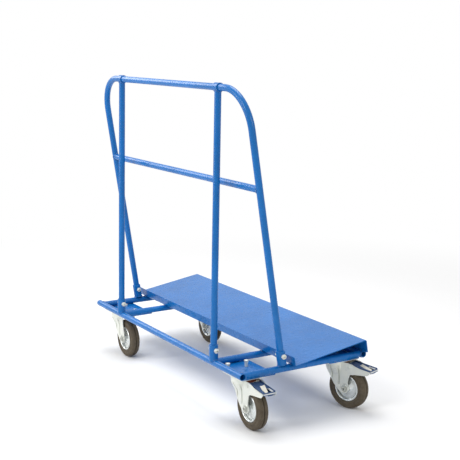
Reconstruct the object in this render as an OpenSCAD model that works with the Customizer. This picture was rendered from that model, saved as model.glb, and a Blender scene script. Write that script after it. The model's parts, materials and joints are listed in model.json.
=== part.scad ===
// Drywall cart: a welded tube frame on four swivel casters, with a folded deck,
// a leaning bow that drops into two sockets, and two posts that carry the bow's top bar.
// +X runs along the cart to its braked end, +Y from the open side to the deck side, +Z up from the floor.

/* [Tubes] */
// Outside diameter of the frame, bow and post tubes
tube_d = 25; // [22:0.5:27]
// Wall thickness of the tubes
tube_wall = 2; // [1.2:0.1:3]

/* [Frame] */
// Distance between the axes of the two rails
frame_w = 527; // [500:1:600]
// Distance of each end cross tube from the middle
end_x = 580; // [520:1:640]
// Distance of each inner cross tube and post from the end tube
bay_l = 190; // [170:1:240]
// How far the rails run past the left end tube
rail_over_left = 25; // [1:1:60]
// How far the rails run past the right end tube
rail_over_right = 0.5; // [0.5:0.5:60]

/* [Deck] */
// Thickness of the folded sheet
deck_t = 3; // [2:0.5:4]
// Reach of the deck past the left end tube's axis
deck_over_left = 76; // [20:1:120]
// Reach of the deck past the right end tube's axis
deck_over_right = 38; // [20:1:120]
// Distance of the deck's low fold from the near rail's axis
deck_near = 203; // [198:1:240]
// Height of the fold along the low edge
upstand_h = 35; // [20:1:60]
// Inside radius of the folds
deck_bend_r = 4; // [2:0.5:8]

/* [Bow] */
// Lean of the bow, which is also the slope of the deck
bow_lean = 8.73; // [7:0.01:9.5]
// Distance of the legs from the near rail's axis, at the rail's height
leg_in = 173.5; // [165:0.5:176]
// Height of the top bar's axis above the rail's axis
bow_h = 991; // [860:1:1050]
// Bend radius of the bow's corners
bow_bend_r = 140; // [80:1:170]
// Height of the middle bar's axis above the rail's axis
mid_h = 650; // [300:1:720]

/* [Sockets and sleeves] */
// Outside diameter of the sockets
socket_d = 33.5; // [32:0.5:38]
// Height of the sockets above the tube they stand on
socket_h = 54; // [45:1:80]
// Height of the cross bolts above the same tube
socket_bolt_h = 35; // [25:1:42]
// How far the post sockets reach down past the rail's crest
socket_saddle = 7; // [3:0.5:10]
// Outside diameter of the sleeves round the top bar
sleeve_d = 32.5; // [30:0.5:36]
// Length of the sleeves round the top bar
sleeve_l = 32; // [26:1:50]

/* [Fasteners] */
// Thread diameter of the frame's bolts
bolt_d = 10; // [8:1:10]
// Width across the flats of their heads and nuts
bolt_af = 16; // [15:1:17]
// Height of their heads
bolt_head_h = 6.4; // [5:0.1:7]
// Height of the cross bolts' nuts
nut_h = 8; // [6:0.5:10]
// Height of the thin nuts under the casters' plates
thin_nut_h = 5; // [4:0.5:5.5]
// How far a thread stands out of its nut
thread_out = 2; // [1:0.5:4]
// Height of the spacers under the tall caster bolts' heads
spacer_h = 18; // [14:0.5:24]
// Outside diameter of the spacers
spacer_d = 13; // [12:0.5:14]

/* [Caster mounts] */
// Thickness of the mount plates
mount_t = 5; // [4:0.5:8]
// Distance of a mount plate's inner edge from the rail's axis
mount_in = 145; // [130:1:170]
// Distance of a mount plate's outer edge from the rail's axis
mount_out = 8.5; // [2:0.5:9]
// Distance of the swivel axes from the end tubes' axes
caster_end = 72; // [72:1:80]
// Distance of the swivel axes from the rails' axes
caster_in = 59; // [59:1:75]
// Spacing of the caster bolts along the cart
bolt_span_x = 100; // [94:1:102]
// Spacing of the caster bolts across the cart
bolt_span_y = 78; // [76:1:78]

/* [Casters] */
// Height from the tyre's top to the top of the caster's plate
caster_head_h = 30; // [29:0.5:40]
// Distance of the axle behind the swivel axis
trail = 56; // [48:1:60]
// Length of the caster's plate
plate_l = 135; // [128:1:142]
// Width of the caster's plate
plate_w = 108; // [102:1:112]
// Thickness of the caster's plate
plate_t = 4; // [3:0.5:5]
// Corner radius of the caster's plate
plate_corner_r = 9; // [4:1:14]
// Diameter of the fork's round crown
crown_d = 101; // [101:1:106]
// Thickness of the crown
crown_t = 4; // [3:0.5:4]
// Height of the swivel head between crown and plate
swivel_h = 15.5; // [14:0.5:16]
// Wall of the collar that stands up from the crown beside the dust ring
collar_t = 3; // [2:0.5:3]
// Height of the collar above the crown
collar_h = 13.5; // [8:0.5:13.5]
// Wall of the dust ring
ring_wall = 8; // [5:0.5:8]
// Outside diameter of the ball race under the plate
race_d = 76; // [66:1:77]
// Inside diameter of the ball race under the plate
race_bore_d = 46; // [40:1:50]
// Diameter of the kingpin
kingpin_d = 14; // [12:1:18]
// Diameter of the kingpin's head
kingpin_head_d = 24; // [22:1:28]
// Height of the kingpin's head
kingpin_head_h = 5; // [4:0.5:6]
// Outside width of the fork
fork_w = 61; // [60.5:0.5:66]
// Thickness of the fork's sides
fork_t = 3.5; // [2.5:0.1:3.5]
// Reach of the fork's sides ahead of the swivel axis
fork_front = 36; // [30:1:42]
// Angle that the far right caster stands turned
far_right_yaw = 18.6; // [0:0.1:60]

/* [Wheels] */
// Diameter of the wheels
wheel_d = 160; // [150:1:180]
// Width of the tyres
tyre_w = 40; // [36:0.5:42]
// Radius of the tyre's shoulders
shoulder_r = 9; // [5:0.5:12]
// Diameter of the rim's edge
rim_d = 104; // [96:1:112]
// Height of the rim's edge above the tyre's seat
rim_edge_h = 6; // [4:0.5:8]
// Thickness of the rim's sheet
rim_t = 2.5; // [2:0.1:3.5]
// How far the rim's edge stays inside the tyre's width
rim_inset = 0.5; // [0.2:0.1:2]
// Half thickness of the rim's disc at its edge
disc_edge_h = 4; // [2:0.5:6]
// Half thickness of the rim's disc at the hub
disc_hub_h = 13; // [8:0.5:18]
// Outside diameter of the hub
hub_d = 32; // [28:1:40]
// Outside diameter of the hub's bush
bush_d = 20; // [17:0.5:24]
// Diameter of the axles
axle_d = 12; // [10:0.5:14]
// Width across the flats of the axle's head and nut
axle_af = 18; // [16:0.5:22]
// Height of the axle's head and nut
axle_head_h = 6; // [4:0.5:8]

/* [Brakes] */
// Width of the brake pedals
pedal_w = 50; // [46:0.5:51]
// Sheet thickness of the brake pedals
pedal_t = 2.5; // [2:0.1:3]
// Slope of the pedals' tread
pedal_slope = 5.8; // [4:0.1:7]
// Height of the tread above the pedal's pin
pedal_rise = 6.6; // [6:0.1:7]
// Reach of the pedal behind its pin
pedal_back = 17; // [14:1:17]
// Reach of the pedal ahead of its pin
pedal_front = 95; // [80:1:110]
// Depth of the turned-down tip
pedal_lip = 9; // [6:0.5:14]
// Distance of the pedal's pin behind the axle
pin_back = 17; // [16:0.5:18]
// Height of the pedal's pin above the tyre
pin_over = 6; // [5.5:0.1:8]
// Diameter of the pedal's pin
pin_d = 7; // [6:0.5:8]
// Diameter of the rivet heads on the pin
pin_head_d = 12; // [10:0.5:14]
// Height of the rivet heads on the pin
pin_head_h = 2; // [1.5:0.5:3]
// Radius of the ears round the pin
ear_r = 7.5; // [6.5:0.5:8]
// Width of the shoe that meets the tyre
shoe_w = 30; // [20:1:38]
// Distance of the shoe ahead of the pin
shoe_front = 28; // [27:0.5:30]
// Drop of the shoe below the pin
shoe_drop = 8.6; // [6:0.1:8.6]
// Thickness of the pad on the tread
pad_t = 2; // [1:0.5:3]
// Margin of the pad inside the tread's edges
pad_margin = 3; // [2:0.5:6]
// Length of the opening near the tip
slot_l = 24; // [14:1:30]
// Width of the opening near the tip
slot_w = 16; // [10:1:20]
// Distance of the opening from the pedal's tip
slot_front = 14; // [10:1:20]
// Distance of the opening from the pedal's middle
slot_side = 3; // [0:0.5:5]

/* [Fits] */
// Gap left for the welds
weld_gap = 0.1; // [0.05:0.05:0.3]
// Gap all round a tube inside its socket or sleeve
socket_gap = 0.15; // [0.1:0.05:0.4]
// Gap all round a bolt in its hole
bolt_gap = 0.25; // [0.2:0.05:0.6]
// Running gap all round a pin in its bore
pin_gap = 0.05; // [0.03:0.01:0.08]
// Gap all round a part that is pressed or riveted in
seat_gap = 0.03; // [0.02:0.01:0.05]
// Gap beside parts that turn past one another
side_gap = 0.5; // [0.3:0.1:0.8]

/* [Hidden] */
$fn = 72;
arc_steps = 5;
overrun = tube_d;
tube_r = tube_d / 2;
wheel_r = wheel_d / 2;
caster_h = wheel_d + caster_head_h;
mount_z = caster_h;
mount_top = mount_z + mount_t;
rail_z = mount_top + weld_gap + tube_r;
near_y = -frame_w / 2;
far_y = frame_w / 2;
inner_x = end_x - bay_l;
rail_left = end_x + tube_r + rail_over_left;
rail_right = end_x + tube_r + rail_over_right;

bow_l = bow_h / cos(bow_lean);
mid_l = mid_h / cos(bow_lean);
top_in = leg_in - bow_h * tan(bow_lean);
post_lean = atan2(top_in, bow_h);
post_l = norm([top_in, bow_h]);
socket_bore_d = tube_d + 2 * socket_gap;
leg_foot = (tube_r + weld_gap) / cos(bow_lean) + socket_d / 2 * tan(bow_lean);
bolt_hole_d = bolt_d + 2 * bolt_gap;

deck_left = end_x + deck_over_left;
deck_right = end_x + deck_over_right;
fold_r = deck_bend_r + deck_t;
fold_lift = fold_r * (sin(bow_lean) + cos(bow_lean) - 1);
deck_z = rail_z + tube_r + weld_gap - fold_lift;
deck_l = (frame_w - deck_near) * cos(bow_lean) + deck_t / 2;
flange_h = ((deck_l - deck_t) * sin(bow_lean) - fold_lift) / cos(bow_lean);

caster_x = end_x - caster_end;
caster_y = frame_w / 2 - caster_in;
ring_top = caster_h - plate_t;
crown_top = ring_top - swivel_h;
crown_low = crown_top - crown_t;
collar_top = crown_top + collar_h;
cheek_top = ring_top - thin_nut_h - side_gap;
ring_d = crown_d - 2 * (collar_t + side_gap);
fork_mid = (fork_w - fork_t) / 2;
fork_inner = fork_w / 2 - fork_t;
hub_half = fork_inner - side_gap;
rim_half = tyre_w / 2 - rim_inset;
seat_r = rim_d / 2 - rim_edge_h;
pin_x = trail + pin_back;
pin_z = wheel_d + pin_over;
ear_t = pedal_t;
tread_low = pedal_rise - pedal_t;
slot_x = pedal_front - slot_front - slot_l;

// Lower outline of a fork's side, from the axle, in wheel radii: along, up, corner radius
foot_shares = [
    [-0.975, 0.725, 0.40], [-0.60, 0.125, 0.30], [-0.25, -0.21, 0.25], [0.09, -0.22, 0.14], [0.24, 0.0, 0.14]
];
// Rear edge of a plain fork's side, up from the axle
plain_shares = [[0.21, 0.28, 0.12], [0.08, 0.81, 0.30]];
// Rear edge of a braked fork's side: the waist, the notch, and the brake's arm out to its tip and back
brake_shares = [
    [0.16, 0.325, 0.30], [0.24, 0.64, 0.08], [0.30, 0.72, 0.08], [0.575, 0.775, 0.30],
    [1.24, 0.85, 0.10], [1.35, 0.975, 0.03], [1.375, 1.04, 0.02],
    [1.175, 1.0625, 0.20], [0.875, 1.095, 0.20], [0.60, 1.155, 0.20], [0.375, 1.235, 0.10]
];
// Rear end of the cheeks' top edge, on a plain and on a braked fork
plain_cheek_share = 0.056;
brake_cheek_share = 0.18;

corners = [
    ["near_left", -1, -1, 0],
    ["near_right", 1, -1, 0],
    ["far_left", -1, 1, 0],
    ["far_right", 1, 1, far_right_yaw]
];
sides = [["left", -1], ["right", 1]];
braked = [for (c = corners) if (c[1] > 0) c];

function unit(v) = v / norm(v);

// Arc of radius r that rounds the corner b between a and c
function corner_arc(a, b, c, r) =
    let (u = unit(a - b), v = unit(c - b), half = acos(u * v) / 2)
    let (o = b + r / sin(half) * unit(u + v), p = b + r / tan(half) * u, q = b + r / tan(half) * v)
    let (from = atan2(p.y - o.y, p.x - o.x), to = atan2(q.y - o.y, q.x - o.x))
    let (sweep = (to - from + 540) % 360 - 180)
    [for (i = [0:arc_steps]) o + r * [cos(from + sweep * i / arc_steps), sin(from + sweep * i / arc_steps)]];

// Outline with the corners given as x, y and radius
function rounded(pts) = [
    for (i = [0:len(pts) - 1])
        let (p = pts[i], a = pts[(i + len(pts) - 1) % len(pts)], c = pts[(i + 1) % len(pts)])
        each p[2] > 0 ? corner_arc([a.x, a.y], [p.x, p.y], [c.x, c.y], p[2]) : [[p.x, p.y]]
];

// Points given in wheel radii from the axle
function from_axle(shares) = [for (s = shares) [trail + s[0] * wheel_r, wheel_r + s[1] * wheel_r, s[2] * wheel_r]];

module paint_blue() color([0.08, 0.33, 0.72]) children();
module zinc() color([0.82, 0.83, 0.80]) children();
module dark_steel() color([0.55, 0.56, 0.57]) children();
module rubber_grey() color([0.38, 0.35, 0.30]) children();
module red_brown() color([0.42, 0.15, 0.08]) children();
module navy() color([0.16, 0.26, 0.48]) children();
module nylon() color([0.90, 0.89, 0.84]) children();

// Solid bar along X between two places
module bar_x(d, from, to) translate([from, 0, 0]) rotate([0, 90, 0]) cylinder(d = d, h = to - from);

// Solid bar along Y between two places
module bar_y(d, from, to) translate([0, from, 0]) rotate([-90, 0, 0]) cylinder(d = d, h = to - from);

// Solid bar up Z between two places
module bar_z(d, from, to) translate([0, 0, from]) cylinder(d = d, h = to - from);

module hexagon(af, h) cylinder(d = af / cos(30), h = h, $fn = 6);

// Side outline, drawn along and up, given a width across
module across(w) translate([0, w / 2, 0]) rotate([90, 0, 0]) linear_extrude(height = w) children();

module rail(y) paint_blue() translate([0, y, rail_z]) difference() {
    bar_x(tube_d, -rail_left, rail_right);
    bar_x(tube_d - 2 * tube_wall, -rail_left - overrun, rail_right + overrun);
}

module near_rail() rail(near_y);
module far_rail() rail(far_y);

module cross_tube(x) paint_blue() translate([x, 0, rail_z]) difference() {
    bar_y(tube_d, near_y, far_y);
    bar_y(tube_d - 2 * tube_wall, near_y - overrun, far_y + overrun);
    for (y = [near_y, far_y]) translate([0, y, 0]) bar_x(tube_d + 2 * weld_gap, -overrun, overrun);
}

module end_tube(s) cross_tube(s[1] * end_x);
module inner_tube(s) cross_tube(s[1] * inner_x);

module deck() paint_blue()
    translate([-deck_left, near_y + deck_near, deck_z])
    rotate([90, 0, 90]) linear_extrude(height = deck_left + deck_right) rotate(bow_lean)
    polygon(rounded([
        [0, 0, fold_r],
        [deck_l - deck_t, 0, deck_bend_r],
        [deck_l - deck_t, -flange_h, 0],
        [deck_l, -flange_h, 0],
        [deck_l, deck_t, fold_r],
        [deck_t, deck_t, deck_bend_r],
        [deck_t, upstand_h, 0],
        [0, upstand_h, 0]
    ]));

// The bow's plane: its origin lies between the legs at the rail's height, and Z runs up the legs
module in_bow() translate([0, near_y + leg_in, rail_z]) rotate([bow_lean, 0, 0]) children();

module bow_bar(d, foot) {
    straight = end_x - bow_bend_r;
    leg_l = bow_l - bow_bend_r - foot;
    translate([0, 0, bow_l - bow_bend_r]) {
        for (s = [-1, 1]) translate([s * end_x, 0, 0]) bar_z(d, -leg_l, 0);
        translate([0, 0, bow_bend_r]) bar_x(d, -straight, straight);
        translate([straight, 0, 0]) rotate([90, 0, 0])
            rotate_extrude(angle = 90) translate([bow_bend_r, 0]) circle(d = d);
        translate([-straight, 0, 0]) rotate([90, -90, 0])
            rotate_extrude(angle = 90) translate([bow_bend_r, 0]) circle(d = d);
    }
}

module bow() paint_blue() in_bow() difference() {
    bow_bar(tube_d, leg_foot);
    bow_bar(tube_d - 2 * tube_wall, leg_foot - overrun);
    for (s = [-1, 1]) translate([s * end_x, 0, leg_foot + socket_bolt_h]) bar_x(bolt_hole_d, -overrun, overrun);
}

module mid_bar() paint_blue() in_bow() translate([0, 0, mid_l]) difference() {
    bar_x(tube_d, -end_x, end_x);
    bar_x(tube_d - 2 * tube_wall, -end_x - overrun, end_x + overrun);
    for (s = [-1, 1]) translate([s * end_x, 0, 0]) bar_z(tube_d + 2 * weld_gap, -overrun, overrun);
}

module leg_socket(s) paint_blue() in_bow() translate([s[1] * end_x, 0, leg_foot]) difference() {
    bar_z(socket_d, 0, socket_h);
    bar_z(socket_bore_d, -overrun, socket_h + overrun);
    translate([0, 0, socket_bolt_h]) bar_x(bolt_hole_d, -overrun, overrun);
}

// A post's line: from the rail's axis up to the top bar's axis
module on_post(s) translate([s[1] * inner_x, near_y, rail_z]) rotate([-post_lean, 0, 0]) children();

// The rail and the inner tube that meet under a post, with their weld gap
module tubes_below(s) translate([s[1] * inner_x, 0, rail_z]) {
    translate([0, near_y, 0]) bar_x(tube_d + 2 * weld_gap, -overrun, overrun);
    bar_y(tube_d + 2 * weld_gap, near_y, far_y);
}

module post_socket(s) paint_blue() difference() {
    on_post(s) bar_z(socket_d, tube_r - socket_saddle, tube_r + socket_h);
    on_post(s) bar_z(socket_bore_d, -overrun, tube_r + socket_h + overrun);
    on_post(s) translate([0, 0, tube_r + socket_bolt_h]) bar_x(bolt_hole_d, -overrun, overrun);
    tubes_below(s);
}

module post(s) paint_blue() difference() {
    on_post(s) bar_z(tube_d, 0, post_l);
    on_post(s) bar_z(tube_d - 2 * tube_wall, -overrun, post_l + overrun);
    on_post(s) translate([0, 0, post_l]) bar_x(sleeve_d + 2 * weld_gap, -overrun, overrun);
    on_post(s) translate([0, 0, tube_r + socket_bolt_h]) bar_x(bolt_hole_d, -overrun, overrun);
    tubes_below(s);
}

module sleeve(s) paint_blue() on_post(s) translate([0, 0, post_l]) difference() {
    bar_x(sleeve_d, -sleeve_l / 2, sleeve_l / 2);
    bar_x(socket_bore_d, -overrun, overrun);
}

// Every cross bolt's place: its middle in a socket, with the nut towards +X
module at_socket_bolts() for (s = sides) {
    in_bow() translate([s[1] * end_x, 0, leg_foot + socket_bolt_h]) children();
    on_post(s) translate([0, 0, tube_r + socket_bolt_h]) children();
}

module socket_bolts() zinc() at_socket_bolts() {
    bar_x(bolt_d, -socket_d / 2, socket_d / 2 + nut_h + thread_out);
    translate([-socket_d / 2 - bolt_head_h, 0, 0]) rotate([0, 90, 0]) hexagon(bolt_af, bolt_head_h);
}

module socket_nuts() zinc() at_socket_bolts() translate([socket_d / 2, 0, 0]) rotate([0, 90, 0]) difference() {
    hexagon(bolt_af, nut_h);
    bar_z(bolt_d + 2 * seat_gap, -overrun, overrun);
}

// A caster's place: its swivel axis on the floor, with +X along the trail
module at_corner(c) translate([c[1] * caster_x, c[2] * caster_y, 0]) rotate([0, 0, c[3]]) children();

// Two bolts of a caster side by side, on its left or right; they stay square to the frame
module at_bolt_pair(c, i) for (j = [-1, 1])
    translate([c[1] * caster_x + i * bolt_span_x / 2, c[2] * caster_y + j * bolt_span_y / 2, 0]) children();

module at_plate_bolts(c) for (i = [-1, 1]) at_bolt_pair(c, i) children();

// The braked casters' left pairs stand on spacers
function head_z(c, i) = c[1] > 0 && i < 0 ? mount_top + spacer_h : mount_top;

module mount(c) paint_blue() difference() {
    translate([
        c[1] > 0 ? inner_x : -end_x,
        c[2] > 0 ? far_y - mount_in : near_y + mount_out,
        mount_z
    ]) cube([end_x - inner_x, mount_in - mount_out, mount_t]);
    at_plate_bolts(c) bar_z(bolt_hole_d, mount_z - overrun, mount_top + overrun);
}

module caster_bolts() zinc() for (c = corners, i = [-1, 1]) at_bolt_pair(c, i) {
    bar_z(bolt_d, ring_top - thin_nut_h, head_z(c, i));
    translate([0, 0, head_z(c, i)]) hexagon(bolt_af, bolt_head_h);
}

module caster_nuts() zinc() for (c = corners) at_plate_bolts(c) translate([0, 0, ring_top - thin_nut_h])
    difference() {
        hexagon(bolt_af, thin_nut_h);
        bar_z(bolt_d + 2 * seat_gap, -overrun, overrun);
    }

module spacers() zinc() for (c = braked) at_bolt_pair(c, -1) difference() {
    bar_z(spacer_d, mount_top, mount_top + spacer_h);
    bar_z(bolt_hole_d, mount_top - overrun, mount_top + spacer_h + overrun);
}

module plate(c) zinc() difference() {
    union() {
        translate([c[1] * caster_x, c[2] * caster_y, ring_top]) linear_extrude(height = plate_t) polygon(rounded([
            [-plate_l / 2, -plate_w / 2, plate_corner_r],
            [plate_l / 2, -plate_w / 2, plate_corner_r],
            [plate_l / 2, plate_w / 2, plate_corner_r],
            [-plate_l / 2, plate_w / 2, plate_corner_r]
        ]));
        at_corner(c) difference() {
            bar_z(race_d, crown_top + side_gap, ring_top + plate_t / 2);
            bar_z(race_bore_d, crown_top - overrun, ring_top);
        }
    }
    at_corner(c) bar_z(kingpin_d + 2 * seat_gap, crown_top - overrun, caster_h + overrun);
    at_plate_bolts(c) bar_z(bolt_hole_d, crown_top - overrun, caster_h + overrun);
}

module dust_rings() red_brown() for (c = corners) at_corner(c) difference() {
    bar_z(ring_d, crown_top + side_gap, ring_top);
    bar_z(ring_d - 2 * ring_wall, crown_top - overrun, ring_top + overrun);
}

module kingpins() zinc() for (c = corners) at_corner(c) {
    bar_z(kingpin_d, crown_low - side_gap, caster_h);
    bar_z(kingpin_head_d, crown_low - side_gap - kingpin_head_h, crown_low - side_gap);
}

module fork_side(c) polygon(rounded(concat(
    [[-fork_front, crown_top, 0]],
    from_axle(foot_shares),
    from_axle(c[1] > 0 ? brake_shares : plain_shares),
    [[trail + (c[1] > 0 ? brake_cheek_share : plain_cheek_share) * wheel_r, cheek_top, 0]],
    [[0, cheek_top, 0], [0, crown_top, 0]]
)));

// Round crown with a collar left standing at both sides, and cut off in front
module crown() difference() {
    bar_z(crown_d, crown_low, collar_top);
    translate([-crown_d, -fork_mid, crown_top]) cube([2 * crown_d, 2 * fork_mid, collar_h + overrun]);
    translate([-crown_d, -crown_d, crown_top]) cube([crown_d - fork_front, 2 * crown_d, collar_h + overrun]);
}

module fork(c) zinc() at_corner(c) difference() {
    union() {
        crown();
        for (y = [-1, 1]) translate([0, y * fork_mid, 0]) across(fork_t) fork_side(c);
    }
    bar_z(crown_d - 2 * collar_t, crown_top, collar_top + overrun);
    bar_z(kingpin_d + 2 * pin_gap, crown_low - overrun, crown_top + overrun);
    translate([trail, 0, wheel_r]) bar_y(axle_d + 2 * seat_gap, -fork_w, fork_w);
    if (c[1] > 0) translate([pin_x, 0, pin_z]) bar_y(pin_d + 2 * seat_gap, -fork_w, fork_w);
}

module at_axle(c) at_corner(c) translate([trail, 0, wheel_r]) children();

module axle(c) zinc() at_axle(c) {
    bar_y(axle_d, -fork_w / 2, fork_w / 2 + axle_head_h + thread_out);
    translate([0, -fork_w / 2 - axle_head_h, 0]) rotate([-90, 0, 0]) hexagon(axle_af, axle_head_h);
    difference() {
        translate([0, fork_w / 2, 0]) rotate([-90, 0, 0]) hexagon(axle_af, axle_head_h);
        bar_y(axle_d + 2 * seat_gap, 0, fork_w);
    }
}

module bush(c) nylon() at_axle(c) difference() {
    bar_y(bush_d, -hub_half, hub_half);
    bar_y(axle_d + 2 * pin_gap, -fork_w, fork_w);
}

// Half of a rim's section: out from the axle, then across
rim_half_pts = [
    [bush_d / 2 + seat_gap, hub_half],
    [hub_d / 2, hub_half],
    [hub_d / 2, disc_hub_h],
    [seat_r - rim_t, disc_edge_h],
    [seat_r - rim_t, rim_half],
    [rim_d / 2, rim_half],
    [rim_d / 2, rim_half - rim_t],
    [seat_r, rim_half - rim_t]
];

// A section given by its half, turned about the axle
module turned(pts) rotate([-90, 0, 0]) rotate_extrude()
    polygon(concat(pts, [for (i = [len(pts) - 1:-1:0]) [pts[i].x, -pts[i].y]]));

module rim(c) zinc() at_axle(c) turned(rim_half_pts);

shoulder_pts = corner_arc([rim_d / 2, tyre_w / 2], [wheel_r, tyre_w / 2], [wheel_r, 0], shoulder_r);

module tyre(c) rubber_grey() at_axle(c) turned(concat(
    [
        [seat_r + seat_gap, rim_half - rim_t - seat_gap],
        [rim_d / 2 + seat_gap, rim_half - rim_t - seat_gap],
        [rim_d / 2 + seat_gap, tyre_w / 2]
    ],
    shoulder_pts
));

// A pedal's place: its pin, with +X along the tread
module at_pedal(c) at_corner(c) translate([pin_x, 0, pin_z]) rotate([0, pedal_slope, 0]) children();

module slot(low, high)
    translate([slot_x, slot_side, low]) cube([slot_l, slot_w, high - low]);

module pedal(c) dark_steel() at_pedal(c) difference() {
    union() {
        translate([-pedal_back, -pedal_w / 2, tread_low]) cube([pedal_back + pedal_front, pedal_w, pedal_t]);
        translate([pedal_front - pedal_t, -pedal_w / 2, pedal_rise - pedal_lip]) cube([pedal_t, pedal_w, pedal_lip]);
        translate([shoe_front - pedal_t, -shoe_w / 2, -shoe_drop]) cube([pedal_t, shoe_w, shoe_drop + pedal_rise]);
        for (y = [-1, 1]) translate([0, y * (pedal_w - ear_t) / 2, 0]) {
            bar_y(2 * ear_r, -ear_t / 2, ear_t / 2);
            translate([-ear_r, -ear_t / 2, 0]) cube([2 * ear_r, ear_t, pedal_rise]);
        }
    }
    bar_y(pin_d + 2 * pin_gap, -pedal_w, pedal_w);
    slot(-overrun, pedal_rise + overrun);
}

module pad(c) navy() at_pedal(c) difference() {
    translate([pad_margin - pedal_back, pad_margin - pedal_w / 2, pedal_rise])
        cube([pedal_back + pedal_front - 2 * pad_margin, pedal_w - 2 * pad_margin, pad_t]);
    slot(-overrun, pedal_rise + overrun);
}

module brake_pin(c) zinc() at_corner(c) translate([pin_x, 0, pin_z]) {
    bar_y(pin_d, -fork_w / 2 - pin_head_h, fork_w / 2 + pin_head_h);
    for (y = [-1, 1]) translate([0, y * (fork_w + pin_head_h) / 2, 0])
        bar_y(pin_head_d, -pin_head_h / 2, pin_head_h / 2);
}

near_rail();
far_rail();
deck();
bow();
mid_bar();
for (s = sides) {
    end_tube(s);
    inner_tube(s);
    post_socket(s);
    leg_socket(s);
    post(s);
    sleeve(s);
}
socket_bolts();
socket_nuts();
caster_bolts();
caster_nuts();
spacers();
kingpins();
dust_rings();
for (c = corners) {
    mount(c);
    plate(c);
    fork(c);
    axle(c);
    rim(c);
    tyre(c);
    bush(c);
}
for (c = braked) {
    pedal(c);
    pad(c);
    brake_pin(c);
}
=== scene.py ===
import json
from math import acos, atan2, cos, hypot, pi, radians, sin, sqrt, tan

import bmesh
import bpy
from mathutils import Matrix, Vector


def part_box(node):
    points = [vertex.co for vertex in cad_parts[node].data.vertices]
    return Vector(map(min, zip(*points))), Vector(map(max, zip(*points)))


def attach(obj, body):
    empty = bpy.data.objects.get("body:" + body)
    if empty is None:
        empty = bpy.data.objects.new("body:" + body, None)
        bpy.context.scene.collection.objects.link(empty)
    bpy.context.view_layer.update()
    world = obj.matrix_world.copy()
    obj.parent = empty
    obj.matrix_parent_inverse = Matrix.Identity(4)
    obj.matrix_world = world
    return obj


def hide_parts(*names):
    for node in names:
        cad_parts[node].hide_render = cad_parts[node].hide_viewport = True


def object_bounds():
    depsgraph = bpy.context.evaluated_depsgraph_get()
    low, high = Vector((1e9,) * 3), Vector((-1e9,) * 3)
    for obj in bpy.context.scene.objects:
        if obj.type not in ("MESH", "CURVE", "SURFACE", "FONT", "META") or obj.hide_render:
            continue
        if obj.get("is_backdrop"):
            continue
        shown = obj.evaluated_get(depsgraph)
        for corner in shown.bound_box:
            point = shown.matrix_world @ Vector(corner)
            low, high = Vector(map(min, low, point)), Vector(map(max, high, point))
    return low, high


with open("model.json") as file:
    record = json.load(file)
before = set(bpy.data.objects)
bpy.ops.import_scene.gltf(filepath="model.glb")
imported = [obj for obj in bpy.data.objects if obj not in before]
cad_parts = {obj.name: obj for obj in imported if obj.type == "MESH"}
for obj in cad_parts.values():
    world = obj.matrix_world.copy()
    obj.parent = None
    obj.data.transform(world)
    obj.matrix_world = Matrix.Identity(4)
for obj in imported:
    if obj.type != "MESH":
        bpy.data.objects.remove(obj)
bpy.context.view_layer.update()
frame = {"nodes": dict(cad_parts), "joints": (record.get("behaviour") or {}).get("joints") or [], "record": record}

mm = 0.001                      # pieces are modelled in millimetres and scaled once, at the end
record = frame["record"]
bodyOf = {node: body for body, nodes in record["behaviour"]["bodies"].items() for node in nodes}
joints = {joint["name"]: joint for joint in frame["joints"]}
identity = Matrix.Identity(4)
tolerance = {"merge": 0.002, "cut": 0.0001, "level": 0.5}       # points this close count as one place


# Small modelling helpers

def boxOf(node):
    low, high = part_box(node)
    return low / mm, high / mm


def jointAt(name):
    return Vector(joints[name]["pos_m"]) / mm


def shift(x, y, z):
    return Matrix.Translation((x, y, z))


def turn(degrees, axis):
    return Matrix.Rotation(radians(degrees), 4, axis)


zToX = turn(90, "Y")
zToY = turn(-90, "X")


def smoothStep(low, high, value):
    t = min(max((value - low) / (high - low), 0.0), 1.0)
    return t * t * (3 - 2 * t)


def clean(part):
    bmesh.ops.remove_doubles(part, verts=part.verts, dist=tolerance["merge"])
    bmesh.ops.recalc_face_normals(part, faces=part.faces)
    return part


def join(piece, part, matrix=identity):      # moves a finished part into the piece's own mesh
    part.transform(matrix)
    if matrix.determinant() < 0:
        bmesh.ops.reverse_faces(part, faces=part.faces)
    shell = bpy.data.meshes.new("shell")
    part.to_mesh(shell)
    part.free()
    piece.from_mesh(shell)
    bpy.data.meshes.remove(shell)


def lathe(profile, steps=48, closed=True):   # profile of (radius, height), turned about Z
    part = bmesh.new()
    ring = [part.verts.new((r, 0, z)) for r, z in profile]
    first = 0 if closed else 1
    line = [part.edges.new((ring[i - 1], ring[i])) for i in range(first, len(ring))]
    bmesh.ops.spin(part, geom=ring + line, cent=(0, 0, 0), axis=(0, 0, 1), angle=2 * pi,
                   steps=steps, use_merge=True)
    return clean(part)


def arcPoints(x, y, radius, fromDeg, toDeg, steps):
    angles = [radians(fromDeg + (toDeg - fromDeg) * i / steps) for i in range(steps + 1)]
    return [(x + radius * cos(a), y + radius * sin(a)) for a in angles]


def outlineFace(corners, steps=6):           # flat face in XZ from (x, z, corner radius)
    part = bmesh.new()
    verts = [part.verts.new((x, 0, z)) for x, z, r in corners]
    part.faces.new(verts)
    for vert, (x, z, r) in zip(verts, corners):
        if r > 0:
            a, b = [(e.other_vert(vert).co - vert.co).normalized() for e in vert.link_edges]
            tangent = r / tan(acos(max(min(a.dot(b), 1.0), -1.0)) / 2)
            bmesh.ops.bevel(part, geom=[vert], offset=tangent, offset_type="OFFSET", segments=steps,
                            profile=0.5, affect="VERTICES", material=-1)
    return part


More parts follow.
